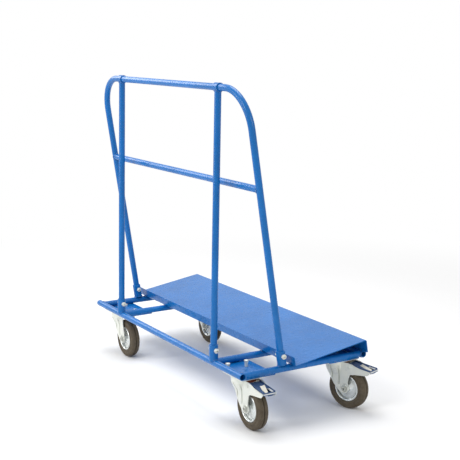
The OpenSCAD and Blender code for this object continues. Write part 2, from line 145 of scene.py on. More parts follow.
def cutAt(part, axis, places):               # adds edges across a sheet at these places
    normal = Vector([1.0 if i == axis else 0.0 for i in range(3)])
    for place in places:
        geom = part.verts[:] + part.edges[:] + part.faces[:]
        bmesh.ops.bisect_plane(part, geom=geom, plane_co=normal * place, plane_no=normal,
                               dist=tolerance["cut"])


def evenly(low, high, step):
    count = max(int((high - low) / step), 1)
    return [low + (high - low) * i / count for i in range(1, count)]


def raiseFace(part, height, axis=(0, 1, 0)):  # a flat face becomes a plate
    made = bmesh.ops.extrude_face_region(part, geom=part.faces[:])
    verts = [g for g in made["geom"] if isinstance(g, bmesh.types.BMVert)]
    bmesh.ops.translate(part, verts=verts, vec=Vector(axis) * height)
    return clean(part)


def thicken(part, thickness):                # gives a sheet its wall, inwards from the faces' normals
    bmesh.ops.solidify(part, geom=part.faces[:], thickness=thickness)
    return part


edgeSpec = {"steps": 2, "angle": 50, "sharp": 38}


def finish(name, piece, material, nodes=(), body=None, edge=0.0, sharp=edgeSpec["sharp"]):
    bmesh.ops.scale(piece, vec=(mm, mm, mm), verts=piece.verts)
    mesh = bpy.data.meshes.new(name)
    piece.to_mesh(mesh)
    piece.free()
    mesh.shade_smooth()
    mesh.set_sharp_from_angle(angle=radians(sharp))
    mesh.materials.append(material)
    thing = bpy.data.objects.new(name, mesh)
    bpy.context.scene.collection.objects.link(thing)
    if edge > 0:
        bevel = thing.modifiers.new("edges", "BEVEL")
        bevel.width = edge * mm
        bevel.segments = edgeSpec["steps"]
        bevel.limit_method = "ANGLE"
        bevel.angle_limit = radians(edgeSpec["angle"])
    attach(thing, body or bodyOf[nodes[0]])
    if nodes:
        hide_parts(*nodes)
    return thing


# Materials

class Finish:
    def __init__(self, name):
        self.material = bpy.data.materials.new(name)
        self.material.use_nodes = True
        self.nodes = self.material.node_tree.nodes
        self.links = self.material.node_tree.links
        self.shader = self.nodes["Principled BSDF"]
        self.place = self.nodes.new("ShaderNodeTexCoord").outputs["Object"]

    def node(self, kind, links=(), **values):
        made = self.nodes.new(kind)
        for key, value in values.items():
            if hasattr(made, key) and key not in made.inputs:
                setattr(made, key, value)
            else:
                made.inputs[key.replace("_", " ")].default_value = value
        for socket, source in dict(links).items():
            self.links.new(source, made.inputs[socket])
        return made

    def noise(self, scale, detail=3.0, roughness=0.5):
        made = self.node("ShaderNodeTexNoise", {"Vector": self.place},
                         Scale=scale, Detail=detail, Roughness=roughness)
        return made.outputs["Fac"]

    def cells(self, scale):
        made = self.node("ShaderNodeTexVoronoi", {"Vector": self.place}, Scale=scale)
        return made.outputs["Distance"]

    def spread(self, source, low, high, toLow=0.0, toHigh=1.0):
        made = self.node("ShaderNodeMapRange", {"Value": source})
        ends = {"From Min": low, "From Max": high, "To Min": toLow, "To Max": toHigh}
        for key, value in ends.items():
            made.inputs[key].default_value = value
        return made.outputs["Result"]

    def blend(self, amount, first, second):      # first and second are colours or sockets
        made = self.node("ShaderNodeMix", data_type="RGBA")
        self.links.new(amount, made.inputs["Factor"])
        for index, value in ((6, first), (7, second)):
            if isinstance(value, tuple):
                made.inputs[index].default_value = (*value, 1.0)
            else:
                self.links.new(value, made.inputs[index])
        return made.outputs[2]

    def bump(self, height, strength, distance, below=None):
        links = {"Height": height}
        if below:
            links["Normal"] = below
        made = self.node("ShaderNodeBump", links, Strength=strength, Distance=distance)
        return made.outputs["Normal"]

    def wear(self, colour=None, roughness=None, normal=None, metallic=None, **constants):
        for key, source in (("Base Color", colour), ("Roughness", roughness), ("Normal", normal),
                            ("Metallic", metallic)):
            if source is not None:
                self.links.new(source, self.shader.inputs[key])
        for key, value in constants.items():
            self.shader.inputs[key.replace("_", " ")].default_value = value
        return self.material


bluePaintLook = {"deep": (0.002, 0.122, 0.395), "fresh": (0.004, 0.146, 0.465), "dust": (0.08, 0.24, 0.50),
                 "chip": (0.22, 0.26, 0.33), "rough": (0.22, 0.36), "peel": 0.01, "pits": -0.2}


def makeBluePaint():
    look = bluePaintLook
    f = Finish("blue paint")
    drift = f.spread(f.noise(6, 2), 0.35, 0.65)
    body = f.blend(drift, look["deep"], look["fresh"])
    chips = f.spread(f.noise(210, 6, 0.7), 0.70, 0.73)
    dust = f.spread(f.noise(24, 5, 0.65), 0.52, 0.80, 0.0, 0.07)
    dusty = f.blend(dust, body, look["dust"])
    colour = f.blend(chips, dusty, look["chip"])
    rough = f.spread(f.noise(38, 5, 0.6), 0.3, 0.75, *look["rough"])
    peel = f.bump(f.noise(260, 2), look["peel"], 0.0003)
    pits = f.bump(chips, look["pits"], 0.0003, peel)
    return f.wear(colour, rough, pits, Coat_Weight=0.08, Coat_Roughness=0.05, Specular_IOR_Level=0.26)


def makeZinc(name, tone, shade, low, high, bare=0.25):
    f = Finish(name)
    clouds = f.spread(f.noise(20, 4, 0.55), 0.3, 0.72)
    spangle = f.spread(f.cells(110), 0.0, 0.8, 0.0, 0.10)
    mottled = f.blend(clouds, tone, shade)
    colour = f.blend(spangle, mottled, tuple(0.88 * c for c in tone))
    rough = f.spread(f.noise(60, 5, 0.6), 0.25, 0.75, low, high)
    grain = f.bump(f.noise(600, 2), 0.06, 0.0003)
    dents = f.bump(f.noise(32, 2), 0.10, 0.001, grain)
    metal = f.spread(f.noise(18, 4, 0.6), 0.4, 0.62, bare, bare + 0.17)
    return f.wear(colour, rough, dents, metal)


tyreLook = {"dark": (0.072, 0.056, 0.036), "pale": (0.112, 0.091, 0.062), "dust": (0.16, 0.135, 0.10),
            "rough": (0.62, 0.88)}


def makeTyreRubber():
    look = tyreLook
    f = Finish("grey tyre rubber")
    scuff = f.spread(f.noise(30, 6, 0.65), 0.35, 0.7)
    body = f.blend(scuff, look["dark"], look["pale"])
    dust = f.spread(f.noise(220, 4, 0.7), 0.5, 0.72, 0.0, 0.35)
    colour = f.blend(dust, body, look["dust"])
    rough = f.spread(f.noise(90, 4), 0.3, 0.7, *look["rough"])
    skin = f.bump(f.noise(900, 3), 0.25, 0.0004)
    return f.wear(colour, rough, f.bump(scuff, 0.12, 0.0006, skin), Specular_IOR_Level=0.3)


ringLook = {"dark": (0.135, 0.018, 0.007), "pale": (0.215, 0.034, 0.012), "rough": (0.4, 0.6)}


def makeRingRubber():
    look = ringLook
    f = Finish("red brown dust ring")
    drift = f.spread(f.noise(40, 4), 0.35, 0.65)
    colour = f.blend(drift, look["dark"], look["pale"])
    rough = f.spread(f.noise(120, 3), 0.3, 0.7, *look["rough"])
    return f.wear(colour, rough, f.bump(f.noise(500, 3), 0.2, 0.0003))


padLook = {"dark": (0.012, 0.044, 0.125), "pale": (0.024, 0.070, 0.185), "speckle": (0.11, 0.18, 0.32),
           "rough": (0.38, 0.58)}


def makePadNavy():
    look = padLook
    f = Finish("navy pad")
    speckle = f.spread(f.noise(950, 2, 0.6), 0.55, 0.66, 0.0, 0.55)
    drift = f.spread(f.noise(45, 4), 0.3, 0.7)
    body = f.blend(drift, look["dark"], look["pale"])
    colour = f.blend(speckle, body, look["speckle"])
    rough = f.spread(f.noise(140, 3), 0.3, 0.7, *look["rough"])
    return f.wear(colour, rough, f.bump(f.noise(800, 2), 0.3, 0.0004))


def makeMoulded(name, light, dark):
    f = Finish(name)
    drift = f.spread(f.noise(55, 4, 0.6), 0.35, 0.7)
    colour = f.blend(drift, light, dark)
    rough = f.spread(f.noise(160, 3), 0.3, 0.7, 0.35, 0.55)
    return f.wear(colour, rough, f.bump(f.noise(700, 2), 0.15, 0.0003))


weldLook = {"dark": (0.003, 0.080, 0.29), "pale": (0.008, 0.130, 0.42), "rough": (0.22, 0.42)}


def makeWeld():
    look = weldLook
    f = Finish("painted weld")
    drift = f.spread(f.noise(160, 4, 0.6), 0.3, 0.7)
    colour = f.blend(drift, look["dark"], look["pale"])
    rough = f.spread(f.noise(300, 3), 0.3, 0.7, *look["rough"])
    skin = f.bump(f.noise(700, 3), 0.3, 0.0005)
    return f.wear(colour, rough, skin, Coat_Weight=0.3, Coat_Roughness=0.1)


bluePaint = makeBluePaint()
zincPlate = makeZinc("bright zinc", (0.76, 0.77, 0.70), (0.67, 0.70, 0.65), 0.26, 0.42)
rimZinc = makeZinc("rim zinc", (0.78, 0.80, 0.78), (0.64, 0.68, 0.68), 0.16, 0.28, 0.55)
boltZinc = makeZinc("axle zinc", (0.58, 0.59, 0.53), (0.45, 0.47, 0.43), 0.30, 0.46)
pedalSteel = makeZinc("pedal steel", (0.72, 0.74, 0.73), (0.60, 0.62, 0.62), 0.26, 0.42)
tyreRubber = makeTyreRubber()
ringRubber = makeRingRubber()
padNavy = makePadNavy()
tongueCream = makeMoulded("cream tongue", (0.80, 0.77, 0.66), (0.70, 0.66, 0.54))
bushNylon = makeMoulded("bush nylon", (0.74, 0.72, 0.64), (0.62, 0.60, 0.53))
weldPaint = makeWeld()
print("materials made")


# Straight tubes of the frame

tubes = {"wall": 2.0, "sides": 44, "gap": 0.1, "endRound": 0.5}
railLow, railHigh = boxOf("near_rail")
tubeR = (railHigh.z - railLow.z) / 2
railZ = (railHigh.z + railLow.z) / 2
nearY = (railHigh.y + railLow.y) / 2
saddleR = tubeR + tubes["gap"]


def tubePart(length, outer=tubeR, wall=tubes["wall"], rounded=tubes["endRound"], start=0.0):
    inner = outer - wall
    if rounded > 0:
        profile = [(inner, start), (outer - rounded, start), (outer, start + rounded),
                   (outer, length - rounded), (outer - rounded, length), (inner, length)]
    else:
        profile = [(inner, start), (outer, start), (outer, length), (inner, length)]
    return lathe(profile, tubes["sides"])


def cope(part, level, side, radius=saddleR, floor=0.0):  # seats a tube's end on a round bar along X
    for vert in part.verts:
        if abs(vert.co.z - level) < tolerance["level"]:
            depth = sqrt(max(radius ** 2 - vert.co.y ** 2, 0.0))
            vert.co.z = level + side * max(depth, floor)
    return part


for rail in ("near_rail", "far_rail"):
    low, high = boxOf(rail)
    piece = bmesh.new()
    join(piece, tubePart(high.x - low.x), shift(low.x, (low.y + high.y) / 2, railZ) @ zToX)
    finish(rail + "_tube", piece, bluePaint, [rail])

farY = -nearY
frameW = farY - nearY
crossX = {}
for tube in ("left_end_tube", "left_inner_tube", "right_end_tube", "right_inner_tube"):
    low, high = boxOf(tube)
    crossX[tube] = (low.x + high.x) / 2
    part = tubePart(frameW, rounded=0)
    cope(cope(part, 0.0, 1), frameW, -1)
    piece = bmesh.new()
    join(piece, part, shift(crossX[tube], nearY, railZ) @ zToY)
    finish(tube + "_coped", piece, bluePaint, [tube])
endX = crossX["right_end_tube"]
innerX = crossX["right_inner_tube"]
print("rails and cross tubes made")


# Folded deck: a sheet bent twice, lying square to the bow

deck = {"lean": 8.73, "lowFold": 203.0, "sheet": 3.0, "upstand": 35.0, "bend": 4.0, "bendSteps": 8,
        "corner": 5.0, "cornerSteps": 4, "gridStep": 60.0}
deckLow, deckHigh = boxOf("deck")
leanSin, leanCos = sin(radians(deck["lean"])), cos(radians(deck["lean"]))
foldR = deck["bend"] + deck["sheet"]
foldLift = foldR * (leanSin + leanCos - 1)
deckRun = (frameW - deck["lowFold"]) * leanCos + deck["sheet"] / 2
flangeH = ((deckRun - deck["sheet"]) * leanSin - foldLift) / leanCos
deckZ = railZ + tubeR + tubes["gap"] - foldLift
deckPlane = shift(0, nearY + deck["lowFold"], deckZ) @ turn(deck["lean"], "X")


def deckPart():
    part = bmesh.new()
    half = deck["sheet"] / 2
    line = [(half, deck["upstand"]), (half, half), (deckRun - half, half), (deckRun - half, -flangeH)]
    verts = [part.verts.new((deckLow.x, y, z)) for y, z in line]
    edges = [part.edges.new((verts[i], verts[i + 1])) for i in range(3)]
    made = bmesh.ops.extrude_edge_only(part, edges=edges)["geom"]
    ends = [g for g in made if isinstance(g, bmesh.types.BMVert)]
    bmesh.ops.translate(part, verts=ends, vec=(deckHigh.x - deckLow.x, 0, 0))
    folds = [e for e in part.edges if len(e.link_faces) == 2]
    bmesh.ops.bevel(part, geom=folds, offset=deck["bend"] + half, offset_type="OFFSET",
                    segments=deck["bendSteps"], profile=0.5, affect="EDGES", material=-1)
    corners = [v for v in part.verts if len(v.link_faces) == 1]
    bmesh.ops.bevel(part, geom=corners, offset=deck["corner"], offset_type="OFFSET",
                    segments=deck["cornerSteps"], profile=0.5, affect="VERTICES", material=-1)
    cutAt(part, 0, evenly(deckLow.x, deckHigh.x, deck["gridStep"]))
    clean(part)
    top = max(part.faces, key=lambda f: f.calc_area())
    if top.normal.z < 0:
        bmesh.ops.reverse_faces(part, faces=part.faces)
    for vert in part.verts:
        vert.co += vert.normal * half
    return thicken(part, deck["sheet"])


piece = bmesh.new()
join(piece, deckPart(), deckPlane)
finish("deck_sheet", piece, bluePaint, ["deck"], edge=0.5)
print("deck made")


# Bow, middle bar, posts, sleeves and sockets; the bow leans as much as the deck

bow = {"legIn": 173.5, "bend": 140.0, "middle": 650.0, "bendSteps": 16}
bowHigh = boxOf("bow")[1]
bowRise = bowHigh.z - tubeR - railZ
bowL = bowRise / leanCos
middleL = bow["middle"] / leanCos
bowPlane = shift(0, nearY + bow["legIn"], railZ) @ turn(deck["lean"], "X")
topIn = bow["legIn"] - bowRise * leanSin / leanCos
postLean = atan2(topIn, bowRise)
postL = hypot(topIn, bowRise)
socket = {"outer": 33.5, "gap": 0.15, "rise": 54.0, "saddle": 7.0, "bolt": 35.0, "round": 0.8}
socketR = socket["outer"] / 2
socketWall = socketR - tubeR - socket["gap"]
legFoot = saddleR / leanCos + socketR * leanSin / leanCos
sleeve = {"outer": 32.5, "length": 32.0, "round": 0.8}
sleeveR = sleeve["outer"] / 2
sides = {"left": -1, "right": 1}


def postPlane(side):
    return shift(side * innerX, nearY, railZ) @ Matrix.Rotation(-postLean, 4, "X")


def bowPart():
    part = bmesh.new()
    bendX, bendZ = endX - bow["bend"], bowL - bow["bend"]
    ring = bmesh.ops.create_circle(part, segments=tubes["sides"], radius=tubeR)["verts"]
    bmesh.ops.translate(part, verts=ring, vec=(endX, 0, legFoot))

    def run(last, vec):
        edges = [g for g in last if isinstance(g, bmesh.types.BMEdge)]
        made = bmesh.ops.extrude_edge_only(part, edges=edges)["geom"]
        verts = [g for g in made if isinstance(g, bmesh.types.BMVert)]
        bmesh.ops.translate(part, verts=verts, vec=vec)
        return [e for e in part.edges if e.verts[0] in verts and e.verts[1] in verts]

    def bend(last, x):
        verts = list({v for e in last for v in e.verts})
        made = bmesh.ops.spin(part, geom=verts + last, cent=(x, 0, bendZ), axis=(0, -1, 0),
                              angle=pi / 2, steps=bow["bendSteps"], use_merge=False)["geom_last"]
        return [g for g in made if isinstance(g, bmesh.types.BMEdge)]

    last = run(part.edges[:], (0, 0, bendZ - legFoot))
    last = run(bend(last, bendX), (-2 * bendX, 0, 0))
    run(bend(last, -bendX), (0, 0, legFoot - bendZ))
    return thicken(clean(part), tubes["wall"])


piece = bmesh.new()
join(piece, bowPart(), bowPlane)
finish("bow_hoop", piece, bluePaint, ["bow"])

piece = bmesh.new()
part = tubePart(2 * endX, rounded=0)
join(piece, cope(cope(part, 0.0, 1), 2 * endX, -1), bowPlane @ shift(-endX, 0, middleL) @ zToX)
finish("middle_bar", piece, bluePaint, ["mid_bar"])

for name, side in sides.items():
    plane = postPlane(side)
    part = tubePart(postL, rounded=0)
    cope(cope(part, 0.0, 1), postL, -1, sleeveR + tubes["gap"])
    piece = bmesh.new()
    join(piece, part, plane)
    finish(name + "_post_tube", piece, bluePaint, [name + "_post"])

    piece = bmesh.new()
    part = tubePart(sleeve["length"], sleeveR, sleeveR - tubeR - socket["gap"], sleeve["round"])
    join(piece, part, plane @ shift(-sleeve["length"] / 2, 0, postL) @ zToX)
    finish(name + "_sleeve_ring", piece, bluePaint, [name + "_sleeve"])

    top = tubeR + socket["rise"]
    part = tubePart(top, socketR, socketWall, 0)
    cope(part, 0.0, 1, floor=tubeR - socket["saddle"])
    for vert in part.verts:                  # clear of the cross tube that joins the rail here
        if vert.co.z < tubeR and vert.co.y > 0:
            vert.co.z = max(vert.co.z, sqrt(max(saddleR ** 2 - vert.co.x ** 2, 0.0)))
    piece = bmesh.new()
    join(piece, part, plane)
    finish(name + "_post_socket_tube", piece, bluePaint, [name + "_post_socket"], edge=0.7)

    piece = bmesh.new()
    part = tubePart(socket["rise"], socketR, socketWall, socket["round"])
    join(piece, part, bowPlane @ shift(side * endX, 0, legFoot))
    finish(name + "_leg_socket_tube", piece, bluePaint, [name + "_leg_socket"])
print("bow, posts and sockets made")


# Bolts, nuts and spacers

bolts = {"flats": 16.0, "head": 6.4, "thread": 10.0, "threaded": 12.0, "nut": 8.0, "thinNut": 5.0,
         "out": 2.0, "drill": 3.0, "spacer": 13.0, "spacerH": 18.0, "spacerSlack": 0.25,
         "spanX": 100.0, "spanY": 78.0}
hexSpec = {"crown": 0.94, "chamfer": 30, "cuts": 5, "fit": 0.03}                # crown: share of the flats
threadSpec = {"pitch": 1.5, "deep": 0.7, "root": 0.4, "tip": 0.8, "sides": 32}  # root: share of the pitch
washerSpec = {"edge": 0.3, "sides": 36}


def hexPart(flats, height, bore=0.0, bothEnds=False):    # a head or nut with its corners turned off
    part = bmesh.new()
    crownR = hexSpec["crown"] * flats / 2
    slope = tan(radians(hexSpec["chamfer"]))
    bmesh.ops.create_circle(part, segments=6, radius=flats / sqrt(3))
    bmesh.ops.subdivide_edges(part, edges=part.edges[:], cuts=hexSpec["cuts"])

    def grow(loop):
        made = bmesh.ops.extrude_edge_only(part, edges=loop)["geom"]
        verts = [g for g in made if isinstance(g, bmesh.types.BMVert)]
        return verts, [g for g in made if isinstance(g, bmesh.types.BMEdge) and g.is_boundary]

    def close(loop, level):
        for radius in (crownR, bore) if bore > 0 else (crownR,):
            verts, loop = grow(loop)
            for vert in verts:
                reach = hypot(vert.co.x, vert.co.y)
                vert.co = (vert.co.x * radius / reach, vert.co.y * radius / reach, level)
        return loop

    base = part.edges[:]
    verts, top = grow(base)
    bmesh.ops.translate(part, verts=verts, vec=(0, 0, height))
    for vert in part.verts:
        drop = slope * max(hypot(vert.co.x, vert.co.y) - crownR, 0.0)
        if vert.co.z > height / 2:
            vert.co.z -= drop
        elif bothEnds:
            vert.co.z += drop
    ends = [close(top, height), close(base, 0.0)]
    if bore > 0:
        bmesh.ops.bridge_loops(part, edges=ends[0] + ends[1])
    else:
        for loop in ends:
            bmesh.ops.edgeloop_fill(part, edges=loop)
    return clean(part)


def threadPart(radius, length, plain, drill=0.0):    # a shank with a ridged end, drilled if asked
    t = threadSpec
    profile = [(0, 0), (radius, 0), (radius, plain)]
    level = plain
    while level + t["pitch"] < length:
        profile += [(radius - t["deep"], level + t["root"] * t["pitch"]), (radius, level + t["pitch"])]
        level += t["pitch"]
    profile.append((radius - t["tip"], length))
    if drill > 0:                            # as deep as it is wide
        profile += [(drill, length), (drill, length - 2 * drill)]
    profile.append((0, profile[-1][1]))
    return lathe(profile, t["sides"], closed=False)


def washerPart(inner, outer, height):
    edge = washerSpec["edge"]
    return lathe([(inner, 0), (outer - edge, 0), (outer, edge), (outer, height - edge),
                  (outer - edge, height), (inner, height)], washerSpec["sides"])


threadR = bolts["thread"] / 2
nutBore = threadR + hexSpec["fit"]
boltPlaces = []
for side in sides.values():
    boltPlaces.append(bowPlane @ shift(side * endX, 0, legFoot + socket["bolt"]) @ zToX)
    boltPlaces.append(postPlane(side) @ shift(0, 0, tubeR + socket["bolt"]) @ zToX)
pins, nuts = bmesh.new(), bmesh.new()
shank = socket["outer"] + bolts["nut"] + bolts["out"]
for place in boltPlaces:
    head = place @ shift(0, 0, -socketR)
    join(pins, threadPart(threadR, shank, socket["outer"], bolts["drill"]), head)
    join(pins, hexPart(bolts["flats"], bolts["head"]), head @ turn(180, "X"))
    nut = hexPart(bolts["flats"], bolts["nut"], nutBore, bothEnds=True)
    join(nuts, nut, place @ shift(0, 0, socketR))
finish("socket_bolt_set", pins, zincPlate, ["socket_bolts"])
finish("socket_nut_set", nuts, zincPlate, ["socket_nuts"])

corners = ("near_left", "near_right", "far_left", "far_right")
mountTop = boxOf("near_left_mount")[1].z
nutLow = boxOf("caster_nuts")[0].z
screws, nuts, spacers = bmesh.new(), bmesh.new(), bmesh.new()
for corner in corners:
    axis = jointAt(corner + "_turn")
    for i in (-0.5, 0.5):
        tall = corner.endswith("right") and i < 0
        headZ = mountTop + (bolts["spacerH"] if tall else 0.0)
        length = headZ - nutLow
        for j in (-0.5, 0.5):
            place = shift(axis.x + i * bolts["spanX"], axis.y + j * bolts["spanY"], 0)
            head = place @ shift(0, 0, headZ)
            join(screws, threadPart(threadR, length, length - bolts["threaded"]), head @ turn(180, "X"))
            join(screws, hexPart(bolts["flats"], bolts["head"]), head)
            nut = hexPart(bolts["flats"], bolts["thinNut"], nutBore, bothEnds=True)
            join(nuts, nut, place @ shift(0, 0, nutLow))
            if tall:
                part = washerPart(threadR + bolts["spacerSlack"], bolts["spacer"] / 2, bolts["spacerH"])
                join(spacers, part, place @ shift(0, 0, mountTop))
finish("caster_bolt_set", screws, zincPlate, ["caster_bolts"])
finish("caster_nut_set", nuts, zincPlate, ["caster_nuts"])
finish("spacer_set", spacers, zincPlate, ["spacers"])
print("bolts, nuts and spacers made")


# Caster mounts and caster plates

mountSpec = {"corner": 3.0, "plateCorner": 9.0, "plate": 4.0, "race": 76.0, "raceBore": 46.0,
             "raceEdge": 2.0, "raceIn": 0.5}
raceR, boreR = mountSpec["race"] / 2, mountSpec["raceBore"] / 2


def platePart(low, high, corner):
    part = outlineFace([(low.x, low.y, corner), (high.x, low.y, corner),
                        (high.x, high.y, corner), (low.x, high.y, corner)])
    part.transform(turn(-90, "X") @ Matrix.Scale(-1, 4, (0, 0, 1)))
    thick = high.z - low.z
    for vert in part.verts:
        vert.co.z = low.z
    return raiseFace(part, thick, (0, 0, 1))


for corner in corners:
    piece = bmesh.new()
    join(piece, platePart(*boxOf(corner + "_mount"), mountSpec["corner"]))
    finish(corner + "_mount_plate", piece, bluePaint, [corner + "_mount"], edge=0.6)

    low, high = boxOf(corner + "_plate")
    axis = jointAt(corner + "_turn")
    piece = bmesh.new()
    flat = Vector((low.x, low.y, high.z - mountSpec["plate"]))
    join(piece, platePart(flat, high, mountSpec["plateCorner"]))
    top, cut = flat.z + mountSpec["raceIn"], mountSpec["raceEdge"]
    ring = [(boreR, low.z), (raceR - cut, low.z), (raceR, low.z + cut), (raceR, top), (boreR, top)]
    join(piece, lathe(ring), shift(axis.x, axis.y, 0))
    finish(corner + "_caster_plate", piece, zincPlate, [corner + "_plate"], edge=0.5)
print("mounts and plates made")


# Casters

caster = {"width": 61.0, "sheet": 2.4, "front": 21.0, "corner": 2.0, "collar": 13.5, "collarOut": 48.4,
          "collarIn": 0.4, "step": 2.0, "stepCorner": 1.0, "gap": 0.5, "shoulder": 44.0, "shoulderTop": 2.0,
          "gridStep": 3.0}
bossSpec = {"out": 1.2, "axle": 13.0, "side": 1.5, "dish": 18.5, "dishDeep": 1.6,
            "pin": 8.5, "pinSide": 2.0}
creaseSpec = {"half": 3.3, "side": 0.8, "deep": 5.2, "ramp": 8.0, "fadeFrom": 10.0, "fadeTo": 4.0}
creases = [{"x": 1.0, "from": 108.0}, {"x": 31.5, "from": 88.0}]

# The fork's outline in wheel radii from the axle: along, up, and the corner's radius
footShares = [(-0.975, 0.725, 0.40), (-0.60, 0.125, 0.30), (-0.25, -0.21, 0.25), (0.09, -0.22, 0.14),
              (0.24, 0.0, 0.14)]
plainShares = [(0.21, 0.28, 0.12), (0.08, 0.81, 0.30)]
brakeShares = [(0.16, 0.325, 0.30), (0.24, 0.64, 0.08), (0.30, 0.72, 0.08), (0.575, 0.775, 0.30),
               (1.24, 0.85, 0.10), (1.35, 0.975, 0.03), (1.375, 1.04, 0.02), (1.175, 1.0625, 0.20),
               (0.875, 1.095, 0.20), (0.60, 1.155, 0.20), (0.375, 1.235, 0.10)]
cheekShares = {"plain": 0.056, "braked": 0.18}
collarTop = boxOf("near_left_fork")[1].z
crownTop = collarTop - caster["collar"]
cheekTop = nutLow - caster["gap"]
turnPoint = jointAt("near_right_turn")
axlePoint = jointAt("near_right_roll")
pinPoint = jointAt("near_right_brake_press")
trail, wheelR = axlePoint.x - turnPoint.x, axlePoint.z
pinX, pinZ = pinPoint.x - turnPoint.x, pinPoint.z
forkHalf = caster["width"] / 2
flatY = forkHalf - bossSpec["out"]
sheetR = caster["collarOut"]


def casterPlane(corner):
    swivel = jointAt(corner + "_turn")
    axle = jointAt(corner + "_roll")
    heading = atan2(axle.y - swivel.y, axle.x - swivel.x)
    return shift(swivel.x, swivel.y, 0) @ Matrix.Rotation(heading, 4, "Z")


def pressOf(x, z, braked):                   # how far the sheet is pressed out here
    b, c = bossSpec, creaseSpec
    reach = hypot(x - trail, z - wheelR)
    boss = 1 - smoothStep(b["axle"], b["axle"] + b["side"], reach)
    dish = smoothStep(b["axle"], b["axle"] + b["side"], reach)
    dish *= 1 - smoothStep(b["dish"] - b["side"], b["dish"], reach)
    pin = 1 - smoothStep(b["pin"], b["pin"] + b["pinSide"], hypot(x - pinX, z - pinZ))
    pin = pin if braked else 0.0
    out = b["out"] * max(boss, pin) - b["dishDeep"] * dish
    for crease in creases:
        across = (c["half"] - abs(x - crease["x"])) / c["side"]
        along = smoothStep(crease["from"], crease["from"] + c["ramp"], z)
        along *= 1 - smoothStep(crownTop - c["fadeFrom"], crownTop - c["fadeTo"], z)
        out -= c["deep"] * min(max(across, 0.0), 1.0) * along
    return out


def forkSide(braked):
    kind = "braked" if braked else "plain"
    cornerR, stepR = caster["corner"], caster["stepCorner"]
    collarEnd = sqrt(sheetR ** 2 - (flatY + caster["collarIn"]) ** 2)
    outline = [(-caster["front"], collarTop, cornerR), (-caster["front"], crownTop, 0)]
    outline += [(trail + a * wheelR, wheelR + b * wheelR, r * wheelR)
                for a, b, r in footShares + (brakeShares if braked else plainShares)]
    outline += [(trail + cheekShares[kind] * wheelR, cheekTop, cornerR),
                (collarEnd + caster["step"], cheekTop, stepR), (collarEnd, collarTop, stepR)]
    part = outlineFace(outline)
    xs = [v.co.x for v in part.verts]
    zs = [v.co.z for v in part.verts]
    cutAt(part, 0, evenly(min(xs), max(xs), caster["gridStep"]))
    cutAt(part, 2, evenly(min(zs), max(zs), caster["gridStep"]))
    for crease in creases:
        for reach in (creaseSpec["half"], creaseSpec["half"] - creaseSpec["side"]):
            cutAt(part, 0, [crease["x"] - reach, crease["x"] + reach])
    for vert in part.verts:
        x, z = vert.co.x, vert.co.z
        flare = sqrt(max(sheetR ** 2 - x ** 2, 0.0)) - flatY
        lift = smoothStep(crownTop - caster["shoulder"], crownTop - caster["shoulderTop"], z)
        vert.co.y = flatY + pressOf(x, z, braked) + max(flare, 0.0) * lift
    clean(part)
    if sum(f.normal.y * f.calc_area() for f in part.faces) < 0:
        bmesh.ops.reverse_faces(part, faces=part.faces)
    return thicken(part, caster["sheet"])


crownSpec = {"thick": 4.0, "reach": 43.0, "bore": 7.1, "round": 2.5, "under": 3.0, "dip": 1.0,
             "dipShares": (0.5, 0.55)}       # the dip's foot and rim, as shares of the reach


def crownPart():
    c, reach, r = crownSpec, crownSpec["reach"], crownSpec["round"]
    low, dip = crownTop - c["thick"], crownTop - c["dip"]
    inner, outer = (reach * share for share in c["dipShares"])
    profile = [(c["bore"], low), (c["bore"], dip), (inner, dip), (outer, crownTop)]
    profile += arcPoints(reach - r, crownTop - r, r, 90, -30, 6)
    profile.append((reach - c["under"], low))
    return lathe(profile, steps=72)


def forkPiece(corner, braked):
    piece = bmesh.new()
    plane = casterPlane(corner)
    join(piece, crownPart(), plane)
    join(piece, forkSide(braked), plane)
    join(piece, forkSide(braked), plane @ Matrix.Scale(-1, 4, (0, 1, 0)))
    finish(corner + "_fork_pressing", piece, zincPlate, [corner + "_fork"], edge=0.5)


axleSpec = {"shank": 12.0, "flats": 18.0, "head": 6.0, "recess": 4.2, "out": 2.0, "washer": 13.5,
            "washerH": 1.4, "slack": 0.1}


def axlePiece(corner):
    a, r = axleSpec, axleSpec["shank"] / 2
    piece = bmesh.new()
    plane = casterPlane(corner) @ shift(trail, 0, wheelR) @ zToY
    start, end = plane @ shift(0, 0, -forkHalf), plane @ shift(0, 0, forkHalf)
    flipped = start @ turn(180, "X")
    join(piece, threadPart(r, 2 * forkHalf + a["head"] + a["out"], 2 * forkHalf), start)
    join(piece, hexPart(a["flats"], a["head"], a["recess"]), flipped)
    join(piece, hexPart(a["flats"], a["head"], r + hexSpec["fit"], bothEnds=True), end)
    for place in (end, flipped):
        join(piece, washerPart(r + a["slack"], a["washer"], a["washerH"]), place)
    finish(corner + "_axle_bolt", piece, boltZinc, [corner + "_axle"])


def bothSides(half):                         # a section's half, then its mirror image
    return half + [(r, -y) for r, y in reversed(half)]


rim = {"edge": 52.0, "half": 19.5, "seat": 46.0, "lip": 3.1, "draft": 0.4, "bead": 3.4, "beadIn": 1.0,
       "bore": 10.03, "hub": 16.0, "hubHalf": 24.8, "hubEdge": 1.5,
       "neck": 5.0, "flare": 3.0, "flareH": 2.4, "disc": 40.0, "discHalf": 11.6, "discRound": 2.0,
       "channel": 43.6, "channelHalf": 4.5}


